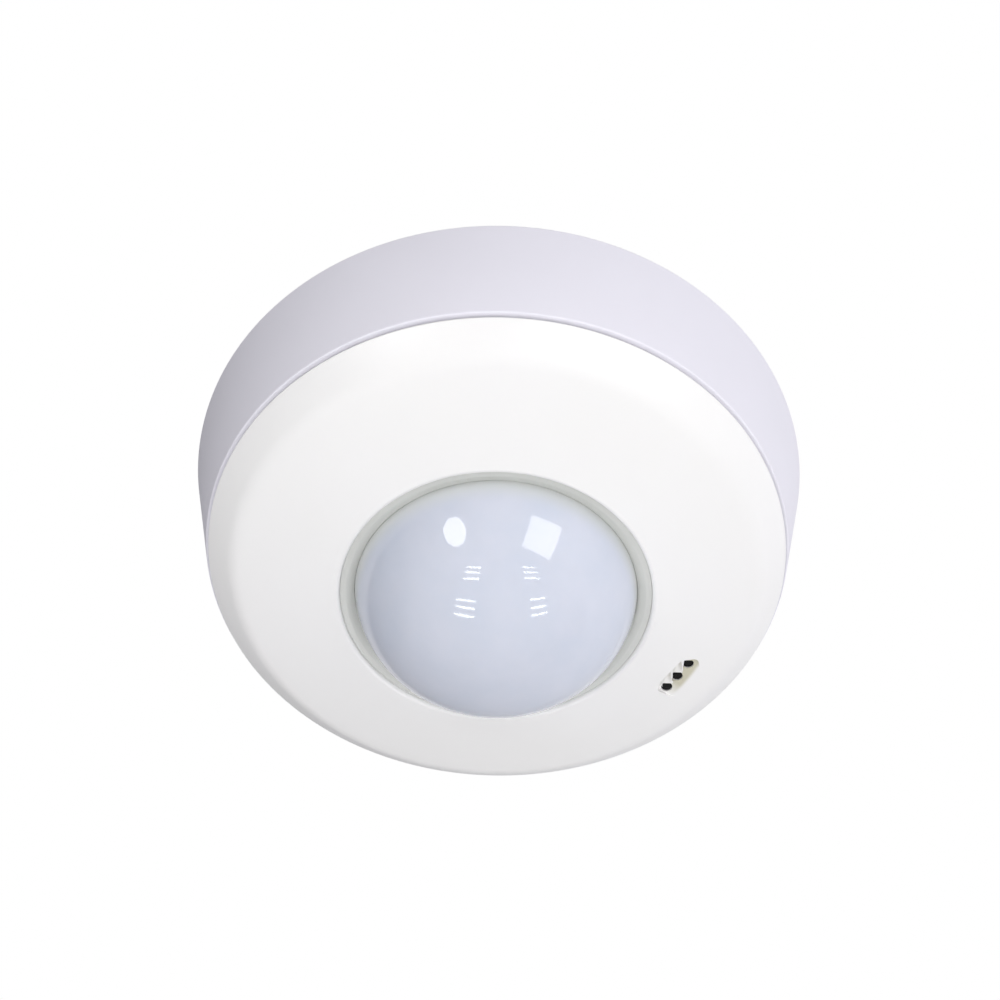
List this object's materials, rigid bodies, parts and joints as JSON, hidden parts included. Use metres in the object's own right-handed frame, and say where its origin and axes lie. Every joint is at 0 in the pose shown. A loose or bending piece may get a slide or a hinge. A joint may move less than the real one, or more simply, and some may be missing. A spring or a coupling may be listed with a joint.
{
  "type": "ceiling motion sensor",
  "caption": "Round white surface-mounted ceiling motion sensor: tapered back box, press-fit chamfered cover, translucent dome lens and a side sound port, with its boards inside.",
  "frame": {"origin": "centre of the back face that lies against the ceiling", "axes": "+Z out of the back face into the ceiling, so the sensor hangs towards -Z; +X to the right and +Y away from a viewer who faces the sensor with the sound port at the far right"},
  "size_m": [0.114, 0.114, 0.0479],
  "materials": {
    "box_white": "satin moulded white",
    "cover_white": "satin moulded white",
    "lens_milky": "smooth translucent milky",
    "ring_grey": "satin light grey",
    "inner_grey": "moulded grey",
    "board_green": "green solder mask",
    "nickel_steel": "nickel plated",
    "dark_window": "polished dark filter",
    "clear_resin": "clear cast resin",
    "red_resin": "tinted clear resin",
    "black_resin": "moulded black",
    "capacitor_metal": "drawn can",
    "black_rubber": "moulded rubber",
    "blue_plastic": "moulded blue",
    "cream_plastic": "moulded cream",
    "red_plastic": "moulded red",
    "relay_blue": "moulded blue",
    "yellow_plastic": "moulded yellow",
    "sleeve_black": "shrink sleeve",
    "red_coating": "dipped coating",
    "brown_plastic": "moulded brown",
    "terminal_green": "moulded green",
    "zinc_steel": "zinc plated",
    "clamp_brass": "plain brass"
  },
  "bodies": {
    "base": {"back_box": "box_white", "lens_dome": "lens_milky", "lens_ring": "ring_grey", "lens_seat": "inner_grey", "carrier_tray": "inner_grey", "sensor_board": "board_green", "power_board": "board_green", "pyro_can": "nickel_steel", "pyro_window": "dark_window", "light_sensor": "clear_resin", "status_led": "red_resin", "controller_chip": "black_resin", "amplifier_chip": "black_resin", "signal_capacitor": "capacitor_metal", "microphone_capsule": "nickel_steel", "microphone_boot": "black_rubber", "delay_trimmer": "blue_plastic", "light_trimmer": "blue_plastic", "button_switch": "black_resin", "board_link": "black_resin", "relay": "relay_blue", "film_capacitor": "yellow_plastic", "reservoir_capacitor": "sleeve_black", "filter_choke": "sleeve_black", "varistor": "red_coating", "fuse": "brown_plastic", "bridge_rectifier": "black_resin", "regulator": "black_resin", "terminal_block": "terminal_green", "cable_grommet": "black_rubber", "terminal_screw_1": "zinc_steel", "terminal_clamp_1": "clamp_brass", "terminal_screw_2": "zinc_steel", "terminal_clamp_2": "clamp_brass", "terminal_screw_3": "zinc_steel", "terminal_clamp_3": "clamp_brass", "tray_screw_1": "zinc_steel", "tray_screw_2": "zinc_steel", "tray_screw_3": "zinc_steel", "tray_screw_4": "zinc_steel", "board_screw_1": "zinc_steel", "board_screw_2": "zinc_steel"},
    "cover": {"front_cover": "cover_white"},
    "delay_setting": {"delay_dial": "cream_plastic"},
    "light_setting": {"light_dial": "cream_plastic"},
    "walk_test": {"test_button": "red_plastic"}
  },
  "joints": [
    {"name": "cover_release", "type": "slide", "parent": "base", "child": "cover", "axis": [0, 0, -1], "range_m": [0, 0.045]},
    {"name": "delay_turn", "type": "hinge", "parent": "base", "child": "delay_setting", "pos_m": [0.0356, -0.005, -0.024], "axis": [0, 0, 1], "range_deg": [-130, 130]},
    {"name": "light_turn", "type": "hinge", "parent": "base", "child": "light_setting", "pos_m": [0.0318, -0.0169, -0.024], "axis": [0, 0, 1], "range_deg": [-130, 130]},
    {"name": "button_press", "type": "slide", "parent": "base", "child": "walk_test", "axis": [0, 0, 1], "range_m": [0, 0.00025], "stiffness_N_per_m": 1000}
  ]
}
